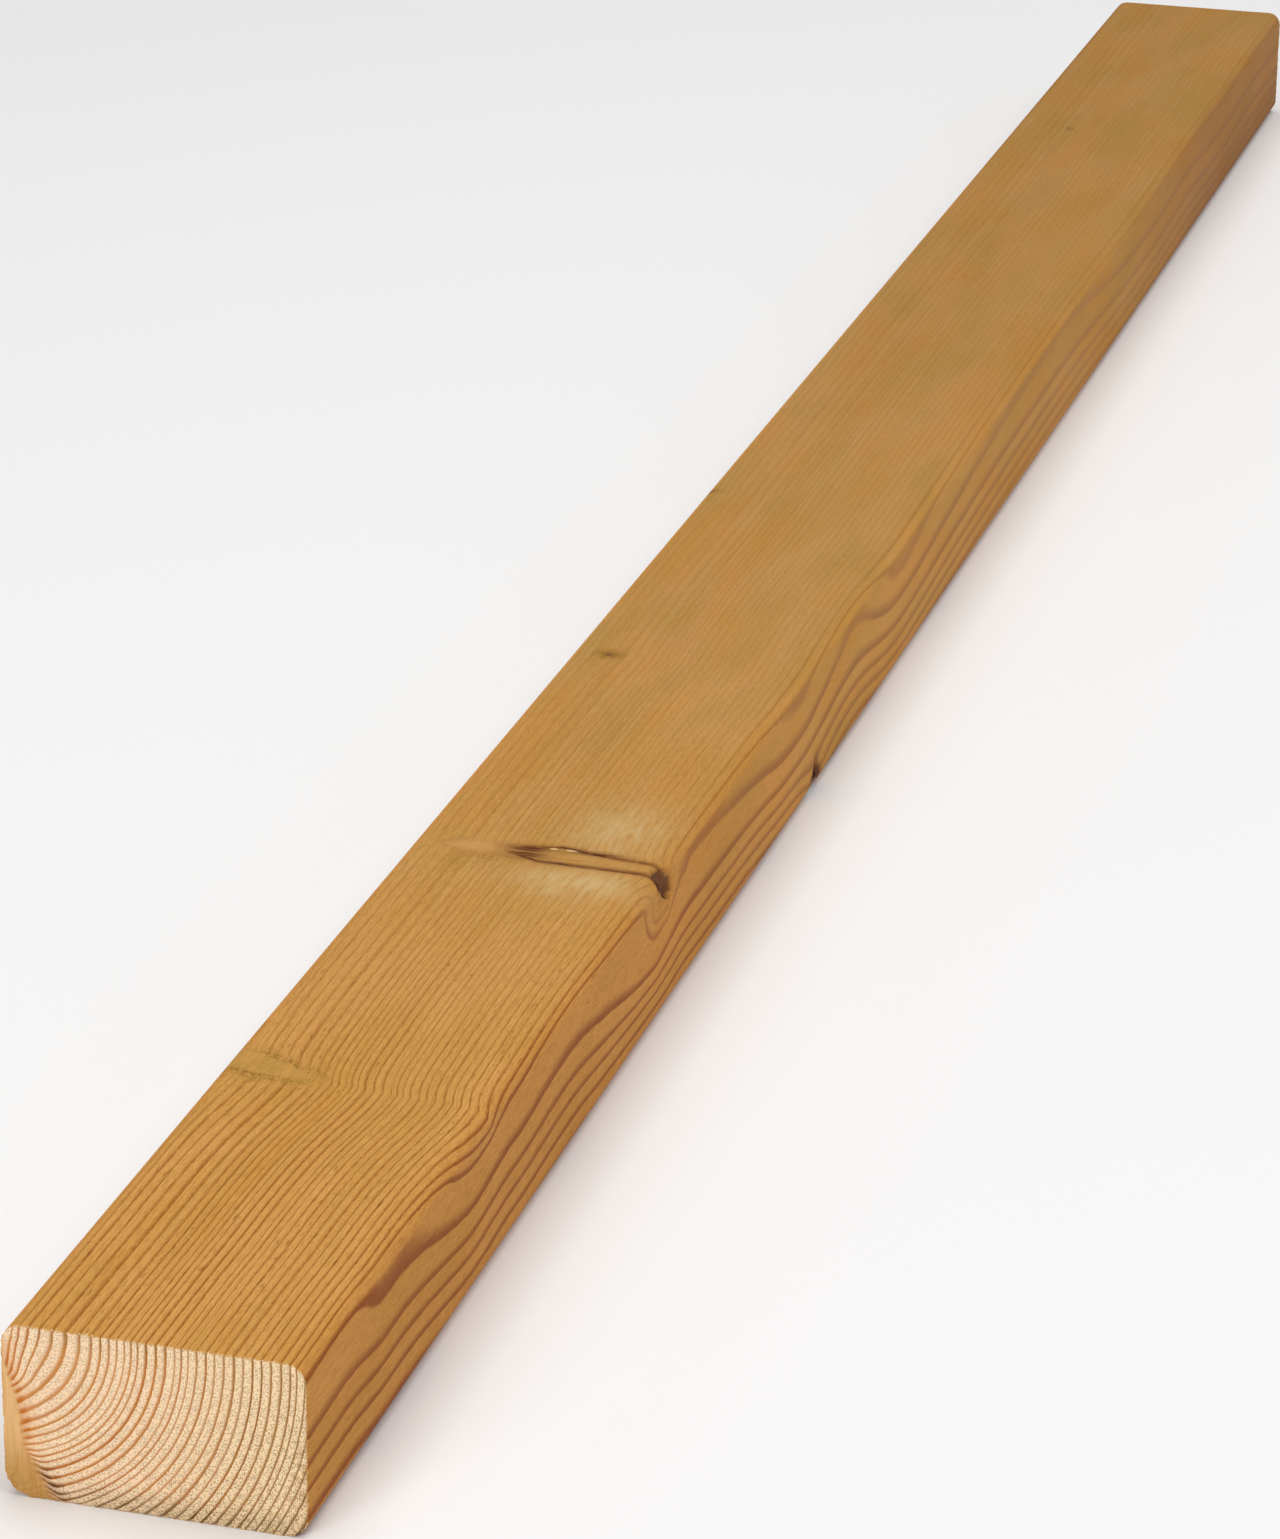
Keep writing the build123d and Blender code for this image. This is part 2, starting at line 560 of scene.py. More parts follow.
def planed_stock_tree():
    """Sweeps the planed section along the rows and closes it with two sawn ends."""
    tree, given, result = new_tree(
        "planed stock",
        (
            ("Width", "NodeSocketFloat"),
            ("Thickness", "NodeSocketFloat"),
            ("Arris radius", "NodeSocketFloat"),
            ("Worn arris radius", "NodeSocketFloat"),
            ("Cell", "NodeSocketFloat"),
            ("Planed finish", "NodeSocketMaterial"),
            ("Sawn finish", "NodeSocketMaterial"),
        ),
    )
    stock_width = Signal(tree, given["Width"])
    stock_thickness = Signal(tree, given["Thickness"])
    eased_radius = Signal(tree, given["Arris radius"])
    worn_radius = Signal(tree, given["Worn arris radius"])
    cell = Signal(tree, given["Cell"])
    section = rounded_section(tree, stock_width, stock_thickness, eased_radius, worn_radius, cell)
    sides = planed_sides(tree, given["Geometry"], section)
    ends = sawn_ends(tree, given["Geometry"], section, stock_thickness)

    # One closed skin, with the sawn finish on its ends
    whole = add_node(tree, "GeometryNodeJoinGeometry")
    tree.links.new(sides.outputs[0], whole.inputs[0])
    tree.links.new(ends.outputs[0], whole.inputs[0])
    merged = add_node(
        tree,
        "GeometryNodeMergeByDistance",
        {"Geometry": whole.outputs[0], "Distance": cell * merge_share},
    )
    real = add_node(tree, "GeometryNodeRealizeInstances", {"Geometry": merged.outputs[0]})
    planed = add_node(
        tree, "GeometryNodeSetMaterial", {"Geometry": real.outputs[0], "Material": given["Planed finish"]}
    )
    is_sawn = add_node(tree, "GeometryNodeInputNamedAttribute", {"Name": "sawn"}, data_type="BOOLEAN")
    finished = add_node(
        tree,
        "GeometryNodeSetMaterial",
        {
            "Geometry": planed.outputs[0],
            "Selection": is_sawn.outputs["Attribute"],
            "Material": given["Sawn finish"],
        },
    )
    tree.links.new(finished.outputs[0], result)
    return tree


# Colours


def colour(red, green, blue):
    """A colour given as it looks on a screen, from 0 to 255, as the linear one that a shader takes."""
    linear = [((value / 255 + 0.055) / 1.055) ** 2.4 for value in (red, green, blue)]
    return (*linear, 1.0)


# Planed wood: the early and late wood of a year
early_wood = colour(209, 154, 77)
early_wood_warm = colour(217, 160, 88)
early_wood_bright = colour(217, 168, 95)
late_wood = colour(158, 98, 26)
late_wood_warm = colour(166, 100, 34)
late_wood_flat = colour(152, 78, 24)
late_wood_faded = colour(154, 94, 44)

# Planed knots, pale and dark, and the fine lines in them
pale_knot = colour(198, 150, 78)
pale_knot_line = colour(168, 118, 50)
dark_knot = colour(156, 88, 46)
dark_knot_line = colour(96, 50, 26)

# Stains and wounds of the planed faces; the bark colours also paint the shade in the checks and pockets
olive_stain = colour(146, 118, 40)
bare_wash = colour(206, 177, 124)
peach_wash = colour(208, 156, 96)
resin_red = colour(98, 48, 26)
fresh_chip = colour(238, 206, 142)
torn_fibre = colour(236, 200, 146)
bark_and_shade_brown = colour(113, 74, 50)
bark_and_shade_black = colour(34, 22, 15)

# Sawn wood, from the pith to the bark, and its year lines
sawn_by_pith = colour(254, 220, 180)
sawn_by_bark = colour(247, 216, 168)
sawn_dull = colour(246, 203, 158)
year_orange = colour(196, 122, 32)
year_rust = colour(182, 104, 28)
year_by_bark = colour(140, 90, 6)
year_at_low_rim = colour(78, 46, 4)
year_by_knot = colour(190, 104, 24)
year_crowded = colour(104, 50, 20)

# The sawn knot at the near end, and what marks the sawn ends
knot_glow = colour(220, 142, 60)
sawn_knot = colour(232, 186, 130)
sawn_knot_foot = colour(206, 158, 92)
knot_seam = colour(188, 102, 26)
soot = colour(92, 48, 20)
pale_tuft = colour(255, 245, 222)
treated_rim = colour(196, 138, 70)


# Finishes


class Finish:
    """A wood finish being made: its node tree and the few kinds of node that it is made of."""

    def __init__(self, name):
        self.material = bpy.data.materials.new(name)
        self.material.use_nodes = True
        self.tree = self.material.node_tree
        self.shader = self.tree.nodes["Principled BSDF"]

    def number(self, attribute):
        """A number that the mesh stores at each point."""
        node = add_node(self.tree, "ShaderNodeAttribute", attribute_name=attribute)
        return Signal(self.tree, node.outputs["Fac"])

    def numbers(self, attribute):
        """Three numbers that the mesh stores together at each point."""
        node = add_node(self.tree, "ShaderNodeAttribute", attribute_name=attribute)
        return self.parts(node.outputs["Vector"])

    def place(self):
        """Where each point is on the plank, in millimetres."""
        node = add_node(self.tree, "ShaderNodeTexCoord")
        return [part / MM for part in self.parts(node.outputs["Object"])]

    def parts(self, vector):
        """The three signals of a vector or a colour."""
        node = add_node(self.tree, "ShaderNodeSeparateXYZ", {"Vector": vector})
        return [Signal(self.tree, socket) for socket in node.outputs]

    def noise(self, x, y, z, detail=2.0, roughness=0.5):
        """Soft noise from about 0.3 to 0.7 over three signals, one unit to a lump."""
        vector = add_node(self.tree, "ShaderNodeCombineXYZ", {"X": x, "Y": y, "Z": z})
        node = add_node(
            self.tree,
            "ShaderNodeTexNoise",
            {"Vector": vector.outputs[0], "Scale": 1.0, "Detail": detail, "Roughness": roughness},
        )
        return Signal(self.tree, node.outputs["Fac"])

    def dots(self, across, up):
        """Distance to the nearest of many scattered dots, about one unit apart, and a random number."""
        vector = add_node(self.tree, "ShaderNodeCombineXYZ", {"X": across, "Y": up})
        node = add_node(
            self.tree,
            "ShaderNodeTexVoronoi",
            {"Vector": vector.outputs[0], "Scale": 1.0},
            voronoi_dimensions="2D",
        )
        return Signal(self.tree, node.outputs["Distance"]), self.parts(node.outputs["Color"])[0]

    def draws(self, number):
        """Three random numbers from 0 to 1 for each whole number."""
        node = add_node(self.tree, "ShaderNodeTexWhiteNoise", {"W": number}, noise_dimensions="1D")
        return self.parts(node.outputs["Color"])

    def mix(self, share, first, second, blend="MIX"):
        """Goes from the first colour to the second by a share."""
        # The sockets for colours come after those of the same name for numbers and vectors
        node = add_node(self.tree, "ShaderNodeMix", data_type="RGBA", blend_type=blend)
        feed(self.tree, node.inputs["Factor"], share)
        feed(self.tree, node.inputs[6], first)
        feed(self.tree, node.inputs[7], second)
        return node.outputs[2]

    def tinted(self, share, first, tint):
        """Multiplies a colour by a tint of red, green and blue, by a share."""
        return self.mix(share, first, (*tint, 1.0), blend="MULTIPLY")

    def paint(self, base, rough, gloss):
        """Gives the surface its colour, how rough it is and how strongly it shines."""
        feed(self.tree, self.shader.inputs["Base Color"], base)
        feed(self.tree, self.shader.inputs["Roughness"], rough)
        self.shader.inputs["Specular IOR Level"].default_value = gloss

    def bump(self, height, depth, strength):
        """Raises the surface by height times depth, in millimetres."""
        node = add_node(
            self.tree,
            "ShaderNodeBump",
            {"Strength": strength, "Distance": depth * MM, "Height": height},
        )
        feed(self.tree, self.shader.inputs["Normal"], node.outputs[0])


class PlanedWood(Finish):
    """The finish of the planed faces, with what it reads from the mesh and noise that follows the grain."""

    def __init__(self):
        super().__init__("planed_pine")
        self.ring = self.number("ring")
        self.out, self.round_stem, self.along = self.numbers("grain")
        self.knot_depth, self.knot_heart, self.knot_tone = self.numbers("knot")
        self.green, self.pale, self.peach = self.numbers("stain")
        # The dark of the bark pockets includes the black painted shade on their near sides
        self.dark, self.red, self.chip = self.numbers("wound_and_shade")
        self.check_gap = self.number("check_gap")
        self.end_gap = self.number("end_gap")
        self.x, _, self.z = self.place()

        # Faces that lie along the rings are flat sawn, and those across them edge sawn
        self.flat_sawn = self.number("flat_sawn")
        self.edge_sawn = 1.0 - self.flat_sawn
        self.not_flat = 1.0 - self.flat_sawn.rise(0.5, 0.95)
        self.further_along = self.along.rise(380.0, 700.0) * self.flat_sawn

        # Near a knot, and fibres that run out along its branch
        self.by_pale_knot = 1.0 - self.knot_tone.rise(0.0, 0.4)
        self.knot_fibre = self.noise(self.out * 0.09, self.round_stem, self.along * 0.8)

    def grain_noise(self, across, along, detail=2.0, roughness=0.5, shift=0.0):
        """Noise that follows the grain, with so many lumps to a millimetre across it and along it."""
        outwards = self.out * across + shift
        return self.noise(outwards, self.round_stem * across, self.along * along, detail, roughness)


def year_lines(wood):
    """Year lines: where they lie, how strongly they show, a random tone for each, and how they drift."""
    # Each year starts pale and ends in a dark line that is sharp on its outer side. On a flat-sawn face the
    # lines are softer near a pale knot, and thinner high up.
    drift = wood.grain_noise(0.16, 0.008)
    tremble = wood.grain_noise(0.8, 0.03)
    fray = wood.grain_noise(0.9, 0.14)
    wobble = drift * 0.1 + tremble * 0.12 + fray * 0.08 - 0.15
    year = wood.ring + wobble * (1.0 - wood.flat_sawn * 0.45)
    season = year.maths("FRACT")
    late_draw, dark_draw, tone_draw = wood.draws(year.maths("FLOOR"))
    softened = wood.knot_depth.rise(-26.0, -9.0) * wood.by_pale_knot * wood.flat_sawn.rise(0.5, 0.9)
    high_up = wood.z.rise(38.0, 50.0) * wood.flat_sawn * wood.along.rise(250.0, 420.0)
    late_share = 0.16 + late_draw * 0.15 + wood.flat_sawn * 0.06
    late_share = late_share + softened * 0.2 + wood.further_along * 0.15
    late_share = late_share * (1.0 - high_up * 0.4)
    late_start = 1.0 - late_share * (1.9 - wood.flat_sawn * 0.3)
    late_full = 1.0 - late_share * 0.4
    line_end = 0.95 - softened * 0.3 - wood.further_along * 0.1
    late = season.rise(late_start, late_full) * (1.0 - season.rise(line_end, 1.0))

    # The lines fade beside a pale knot and further along the plank, later where they lie flat in the face
    hushed = wood.knot_depth.rise(-11.0, -1.0) * wood.by_pale_knot
    edge_fading = wood.along.rise(80.0, 420.0) * 0.68 + wood.along.rise(380.0, 700.0) * 0.14
    flat_fading = wood.along.rise(380.0, 640.0) * 0.2 + wood.along.rise(600.0, 1400.0) * 0.4
    faded = edge_fading * wood.edge_sawn + flat_fading * wood.flat_sawn
    chatter = wood.grain_noise(1.2, 0.42, detail=1.0)
    broken = 1.0 - chatter.rise(0.45, 0.7) * 0.35 * wood.edge_sawn
    contrast = (0.72 + dark_draw * 0.28) * (1.0 - faded) * (1.0 - hushed * 0.65) * broken
    contrast = contrast * (1.0 - softened * 0.45) * (1.0 - high_up * 0.25)
    contrast = contrast * (0.2 + wood.out.rise(4.0, 10.0) * 0.8)
    return late, contrast, tone_draw, drift


def year_colour(wood, shown, year_tone):
    """Colour of the early and late wood, by how strongly a year line shows."""
    cloud = wood.noise(wood.out * 0.035, wood.round_stem * 0.03, wood.along * 0.009)
    early = wood.mix(cloud.rise(0.35, 0.65), early_wood, early_wood_warm)
    early = wood.mix(year_tone * 0.35, early, early_wood_bright)
    late = wood.mix(year_tone, late_wood, late_wood_warm)
    late = wood.mix(wood.flat_sawn.rise(0.3, 0.95), late, late_wood_flat)
    late = wood.mix(wood.further_along, late, late_wood_faded)
    return wood.mix(shown, early, late)


def fibre_marks(wood):
    """Long streaks, short fibres, fine hairs, grit and resin flecks."""
    streak = wood.grain_noise(2.2, 0.014, detail=3.0)
    fibre = wood.grain_noise(1.7, 0.17)
    hair = wood.grain_noise(5.0, 0.06)
    grit = wood.grain_noise(2.6, 1.2, detail=1.0, shift=9.0)
    fleck_lump = wood.grain_noise(1.1, 0.16, detail=0.0, shift=40.0)
    fleck_zone = wood.grain_noise(0.05, 0.012)
    fleck = fleck_lump.rise(0.72, 0.79) * fleck_zone.rise(0.45, 0.6)
    fleck = fleck * (1.0 - wood.along.rise(230.0, 480.0) * 0.6)
    return streak, fibre, hair, grit, fleck


def fibre_colour(wood, base, streak, fibre, hair, grit, fleck):
    """Darkens the fibre marks, less so further along."""
    texture = 1.0 - wood.along.rise(350.0, 800.0) * 0.6
    gritty = 1.0 - wood.along.rise(150.0, 600.0) * 0.75
    base = wood.tinted(streak.rise(0.38, 0.7) * 0.55 * texture, base, (0.84, 0.8, 0.74))
    base = wood.tinted(fibre.rise(0.42, 0.64) * 0.6 * texture, base, (0.8, 0.75, 0.66))
    base = wood.tinted(hair.rise(0.4, 0.7) * 0.5 * texture, base, (0.82, 0.78, 0.7))
    base = wood.tinted(grit.rise(0.5, 0.66) * gritty, base, (0.86, 0.82, 0.74))
    return wood.tinted(fleck * 0.7, base, (0.58, 0.5, 0.42))


def colour_and_shade_along(wood, base):
    """The slow change of colour along the plank, clouded on the upper face, and darker with distance as
    painted shade.
    """
    base = wood.tinted(wood.flat_sawn.rise(0.2, 0.95), base, (1.025, 0.94, 0.83))
    base = wood.tinted(wood.further_along, base, (0.98, 1.05, 1.1))
    # Painted shade: the upper face from 150 mm, and the whole plank from 350 mm, darken towards the far end
    # as the light falls off
    base = wood.tinted(wood.along.rise(150.0, 480.0) * wood.not_flat, base, (0.885, 0.905, 0.96))
    base = wood.tinted(wood.along.rise(350.0, 1700.0), base, (0.8, 0.79, 0.82))
    far_top_shade = wood.along.rise(350.0, 720.0) * (1.0 - wood.along.rise(1100.0, 1600.0) * 0.6) * wood.not_flat
    base = wood.tinted(far_top_shade, base, (0.91, 0.9, 0.91))
    clouded = wood.along.rise(250.0, 600.0)
    warmth = wood.grain_noise(0.04, 0.011, shift=5.0)
    base = wood.tinted(warmth.rise(0.47, 0.62) * clouded * 0.8, base, (1.03, 0.96, 0.84))
    base = wood.tinted((1.0 - warmth.rise(0.36, 0.5)) * clouded * 0.8, base, (0.94, 0.97, 0.92))

    # Redder along the lower right arris, and painted shade towards the far end of a flat-sawn face and at
    # its foot
    low_edge = (1.0 - wood.z.rise(0.5, 12.0)) * wood.x.rise(38.0, 49.0)
    base = wood.tinted(low_edge * 0.85, base, (0.95, 0.76, 0.54))
    flat_face = wood.flat_sawn.rise(0.5, 0.9)
    base = wood.tinted(wood.along.rise(1250.0, 1600.0) * flat_face, base, (0.83, 0.8, 0.92))
    far_foot_shade = wood.along.rise(1480.0, 1620.0) * flat_face * (1.0 - wood.z.rise(8.0, 30.0))
    return wood.tinted(far_foot_shade, base, (0.89, 0.88, 1.0))


def planed_knots(wood, base):
    """Knots: their own fine rings, a warm rim, and a dark outline on the dark ones."""
    ragged = wood.grain_noise(0.45, 0.45, detail=3.0)
    ragged_depth = wood.knot_depth + ragged * 3.6 - 1.8
    inside = ragged_depth.rise(-1.6, 1.6)
    rim = wood.knot_depth.rise(-7.0, -0.2)
    knot_year = (wood.knot_heart * 0.75 + ragged * 1.6).maths("FRACT")
    knot_line = knot_year.rise(0.4, 0.9) * (1.0 - knot_year.rise(0.93, 1.0))
    plain = wood.mix(wood.knot_tone, pale_knot, dark_knot)
    lined = wood.mix(wood.knot_tone, pale_knot_line, dark_knot_line)
    knot_wood = wood.mix(knot_line * (0.25 + wood.knot_tone * 0.65), plain, lined)
    base = wood.tinted(rim * (0.12 + wood.knot_tone * 0.6), base, (0.8, 0.68, 0.55))
    base = wood.mix(inside * (0.6 + wood.knot_tone * 0.3), base, knot_wood)
    streaked = inside * wood.by_pale_knot * wood.knot_tone.rise(0.0, 0.12)
    base = wood.tinted(streaked * wood.knot_fibre.rise(0.42, 0.62) * 0.8, base, (0.8, 0.7, 0.56))
    outline = ragged_depth.rise(-1.6, -0.2) * (1.0 - ragged_depth.rise(0.2, 1.8))
    return wood.tinted(outline * wood.knot_tone, base, (0.42, 0.32, 0.26))


def planed_stains(wood, base):
    """Green stains, bare and peach patches, red marks, chips, and fibres torn pale at the sawn ends."""
    blotch = wood.grain_noise(0.3, 0.14, detail=3.0, roughness=0.65)
    olive_edge = wood.knot_depth.rise(-6.0, -1.5) * (1.0 - wood.knot_depth.rise(-0.5, 2.5))
    olive = wood.green * blotch.rise(0.34, 0.6) * (0.32 + olive_edge * 0.45)
    base = wood.mix(olive, base, olive_stain)
    peck = wood.grain_noise(0.9, 0.8, detail=1.0, shift=20.0)
    base = wood.tinted(wood.green * olive_edge * peck.rise(0.47, 0.6), base, (0.52, 0.48, 0.3))
    wash = wood.grain_noise(0.28, 0.07, detail=3.0, roughness=0.6)
    base = wood.mix(wood.pale * (0.25 + wash.rise(0.36, 0.64) * 0.6), base, bare_wash)
    base = wood.mix(wood.peach * 0.65, base, peach_wash)
    base = wood.mix(wood.red * (0.5 + wood.knot_fibre.rise(0.36, 0.56) * 0.5), base, resin_red)
    base = wood.mix(wood.chip.rise(0.35, 0.6), base, fresh_chip)
    torn = wood.grain_noise(1.1, 0.2)
    torn_away = 1.0 - (wood.end_gap + torn * 5.0 - 2.2).rise(0.0, 0.7)
    return wood.mix(torn_away * 0.8, base, torn_fibre)


def planed_wounds(wood, base):
    """Open checks and bark pockets, with painted shade in brown and black down the checks, blackest where
    they are widest.
    """
    wander = wood.noise(wood.out * 0.14, wood.round_stem * 0.35, wood.along * 0.3)
    # Painted shade: the open checks are brown and black inside, blackest where they are widest
    check_painted_shade = 1.0 - (wood.check_gap + wander * 1.4 - 0.7).rise(-0.6, 0.5)
    base = wood.tinted((1.0 - wood.check_gap.rise(0.0, 2.6)) * 0.6, base, (0.62, 0.46, 0.38))
    bark = wood.grain_noise(0.4, 0.5)
    bark_dark_and_shade = wood.dark + (bark - 0.5) * 0.25 * wood.dark.rise(0.02, 0.2)
    wound_and_shade = bark_dark_and_shade.maths("MAXIMUM", check_painted_shade * (0.72 - wood.x.rise(8.0, 26.0) * 0.27))
    base = wood.mix(wound_and_shade.rise(0.05, 0.5), base, bark_and_shade_brown)
    return wood.mix(wound_and_shade.rise(0.52, 0.88), base, bark_and_shade_black)


def planed_finish():
    """Planed faces of brown treated pine: growth rings, fibre streaks, resin flecks, knots and stains."""
    wood = PlanedWood()
    late, contrast, year_tone, drift = year_lines(wood)
    streak, fibre, hair, grit, fleck = fibre_marks(wood)
    base = year_colour(wood, late * contrast, year_tone)
    base = fibre_colour(wood, base, streak, fibre, hair, grit, fleck)
    base = colour_and_shade_along(wood, base)
    base = planed_knots(wood, base)
    base = planed_stains(wood, base)
    base = planed_wounds(wood, base)

    # Gloss and relief: late wood is harder, so the planer leaves it smoother and proud
    rough = 0.66 - late * 0.1 + streak * 0.06 + wood.dark * 0.25
    wood.paint(base, rough, gloss=0.06)
    ripple = (wood.along * (2 * math.pi / knife_step) + drift * 14.0).maths("SINE")
    height = late * 0.45 + streak * 0.5 + fibre * 0.5 + hair * 0.5 + grit * 0.3
    height = height + ripple * 0.05 - fleck * 0.6
    wood.bump(height, depth=0.14, strength=0.7)
    return wood.material


class SawnWood(Finish):
    """The finish of the sawn ends, with what it reads from the mesh and where the knot and rims lie."""

    def __init__(self):
        super().__init__("sawn_pine")
        self.ring = self.number("ring")
        self.knot_depth = self.numbers("knot")[0]
        self.rim_gap = self.number("rim_gap")
        self.x, self.y, self.z = self.place()
        self.drift = self.even_noise(0.3)
        self.tremble = self.even_noise(1.4, detail=3.0)
        self.sooty = self.noise(self.x * 0.28, self.y * 0.28, self.z * 0.5)

        # The knot at the near end: its flank, its foot, the rings that crowd there, and its inside
        self.flank = self.knot_depth.rise(-8.0, -0.3)
        self.foot = 1.0 - self.z.rise(8.0, 26.0)
        self.crowded = self.knot_depth.rise(-10.0, -1.0) * (1.0 - self.z.rise(6.0, 20.0))
        self.soft_depth = self.knot_depth + self.drift * 3.0 - 1.5
        spread = self.soft_depth + self.foot * 0.8
        self.inside = spread.rise(-1.0 - self.foot * 2.0, 1.0 + self.foot)

        # Towards the bark, and along the lower rim
        self.toward_bark = self.x.rise(-2.0, 42.0)
        self.low_rim = (1.0 - self.z.rise(1.0, 11.0)) * self.x.rise(-34.0, -20.0)

    def even_noise(self, lumps, detail=2.0, roughness=0.5, shift=0.0):
        """Noise that is the same in all directions, with so many lumps to a millimetre."""
        return self.noise(self.x * lumps + shift, self.y * lumps, self.z * lumps, detail, roughness)


def sawn_years(wood):
    """Year lines, and the colour that they give: orange near the pith, thin and brown towards the bark."""
    year = wood.ring + wood.drift * 0.12 + wood.tremble * 0.14 - 0.13
    season = year.maths("FRACT")
    late_draw, dark_draw, tone_draw = wood.draws(year.maths("FLOOR"))
    late_share = 0.18 + late_draw * 0.1 + wood.flank * 0.1 + wood.crowded * 0.12 + wood.toward_bark * 0.02
    late_start = 1.0 - late_share * (2.0 - wood.toward_bark * 0.5)
    late = season.rise(late_start, 1.0 - late_share * 0.6) * (1.0 - season.rise(0.95, 1.0))
    contrast = 0.76 + dark_draw * 0.24

    early = wood.mix(wood.x.rise(-20.0, 50.0), sawn_by_pith, sawn_by_bark)
    early = wood.mix(late_draw * 0.35, early, sawn_dull)
    lines = wood.mix(tone_draw, year_orange, year_rust)
    treated = (1.0 - wood.rim_gap.rise(0.5, 9.0)) * wood.x.rise(-46.0, -34.0) * 0.8
    lines = wood.mix(treated.maths("MAXIMUM", wood.toward_bark * 0.9), lines, year_by_bark)
    lines = wood.mix(wood.low_rim * 0.7, lines, year_at_low_rim)
    lines = wood.mix(wood.flank * 0.6, lines, year_by_knot)
    lines = wood.mix(wood.crowded * 0.8, lines, year_crowded)
    base = wood.mix(late * contrast, early, lines)
    glow = wood.flank * (1.0 - wood.foot * 0.6) * 0.28
    return late, wood.mix(glow, base, knot_glow)


def sawn_knots(wood, base, late):
    """The knot at the near end: smooth and tan, lined along its heart, and darker at the worn arris."""
    knot_streak = wood.noise(wood.x * 0.7, wood.y * 0.7, wood.z * 0.06)
    knot_wood = wood.mix(wood.foot, sawn_knot, sawn_knot_foot)
    knot_wood = wood.tinted(knot_streak.rise(0.4, 0.64) * 0.5, knot_wood, (0.84, 0.7, 0.5))
    fibres = wood.noise(
        wood.x * 0.5 + wood.z * 0.3, wood.y * 0.5, wood.z * 0.9 - wood.x * 0.35, detail=3.0
    )
    worn_foot = 1.0 - (wood.z + wood.x * 0.3).rise(-14.0, 6.0)
    worn = worn_foot * (0.35 + fibres.rise(0.4, 0.6) * 0.65)
    knot_wood = wood.tinted(worn, knot_wood, (0.8, 0.76, 0.66))
    base = wood.mix(wood.inside, base, knot_wood)
    seam = wood.soft_depth.rise(-3.0, -0.8) * (1.0 - wood.soft_depth.rise(-0.2, 1.8))
    base = wood.mix(seam * (1.0 - wood.foot) * (0.25 + late * 0.6), base, knot_seam)
    smudge = wood.crowded * (1.0 - wood.inside) * wood.sooty.rise(0.34, 0.5)
    smudge = smudge * (1.0 - wood.z.rise(9.0, 15.0)) * (0.4 + late * 0.6)
    return wood.mix(smudge, base, soot)


def sawn_grime(wood, base):
    """Grime along the lower rim, and in patches down the right one."""
    grimy = wood.low_rim * (0.6 + wood.sooty.rise(0.4, 0.6) * 0.4)
    base = wood.tinted(grimy, base, (0.72, 0.71, 0.62))
    right_rim = wood.x.rise(41.0, 49.0) * wood.sooty.rise(0.44, 0.62) * (1.0 - wood.z.rise(30.0, 45.0))
    return wood.tinted(right_rim * 0.7, base, (0.66, 0.56, 0.42))


def sawn_finish():
    """Sawn ends: pale fresh wood with brown year lines, fuzzy with cut fibres, stained at the rim."""
    wood = SawnWood()
    late, base = sawn_years(wood)
    base = sawn_knots(wood, base, late)
    base = sawn_grime(wood, base)

    # Cut fibres: dark mouths and pale tufts in the early wood, coarser where the saw came out
    mouth_gap, mouth_draw = wood.dots(wood.x * 1.45 + wood.y, wood.z * 1.45)
    mouth = (1.0 - mouth_gap.rise(0.22, 0.48)) * mouth_draw.rise(0.15, 0.55)
    tuft = wood.even_noise(1.9, roughness=0.75, shift=7.0)
    saw_exit = (wood.x * 0.6 - wood.z).rise(-50.0, 20.0)
    fuzz = (1.0 - wood.inside * 0.8) * (1.0 - late) * (1.0 - wood.flank * 0.7)
    base = wood.tinted(mouth * (0.6 + saw_exit * 0.4) * fuzz, base, (0.4, 0.31, 0.18))
    base = wood.mix(tuft.rise(0.52, 0.64) * 0.85 * fuzz, base, pale_tuft)
    ragged_rim = wood.rim_gap + wood.drift * 1.2 - 0.6 + wood.tremble * 0.8 - 0.4
    base = wood.mix((1.0 - ragged_rim.rise(0.0, 0.6)) * 0.6, base, treated_rim)

    wood.paint(base, 0.86 + mouth * 0.1 - wood.inside * 0.12, gloss=0.1)
    height = late * 0.08 + (tuft * 0.6 - mouth * 0.5) * fuzz
    wood.bump(height, depth=0.3, strength=0.7)
    return wood.material


# Plank


def row_stations():
    """Places of the rows along the length."""
    stations = [0.0]
    while stations[-1] < length - row_slack:
        here = stations[-1]
        step = plain_row_step
        for zone_start, zone_end, zone_step in close_rows:
            if zone_start - row_slack <= here < zone_end - row_slack:
                step = min(zone_step, zone_end - here)
            elif here < zone_start < here + step:
                step = zone_start - here
        stations.append(min(here + step, length))
    return stations


def rows_mesh():
    """A straight line of points through the middle of the stock, one for each row."""
    points = [(0.0, (near_end + place) * MM, thickness / 2 * MM) for place in row_stations()]
    edges = [(number, number + 1) for number in range(len(points) - 1)]
    mesh = bpy.data.meshes.new("rows")
    mesh.from_pydata(points, edges, [])
    return mesh


def read(collection, name, kind, size):
    """Reads one property of each item of a mesh, as a list of numbers or of rows of numbers."""
    values = np.zeros(len(collection) * size, kind)
    collection.foreach_get(name, values)
    return values.reshape(-1, size) if size > 1 else values


def store(mesh, name, values):
    """Keeps one number or three numbers for each point of a mesh."""
    kind, field = ("FLOAT", "value") if values.ndim == 1 else ("FLOAT_VECTOR", "vector")
    attribute = mesh.attributes.new(name, kind, "POINT")
    attribute.data.foreach_set(field, values.astype(np.float32).ravel())


def check_gaps(x, y, z):
    """Distance from each point to the edge of the nearest check, negative inside it."""
    gap = np.full(len(x), far_off)
    near_face = z > thickness - arris_radius - check_skirt
    for path in (near_check, far_check):
        centre = straight(x, path)
        start, end = path[0][0], path[-1][0]
        taper = smooth_step(x, start - check_tip_before, start + check_tip_after)
        past_ends = np.maximum(np.maximum(start - x, x - end - check_run_out), 0.0)
        here = np.hypot(y - centre, past_ends) - check_half_width * taper
        gap = np.minimum(gap, np.where(near_face, here, far_off))
    return gap


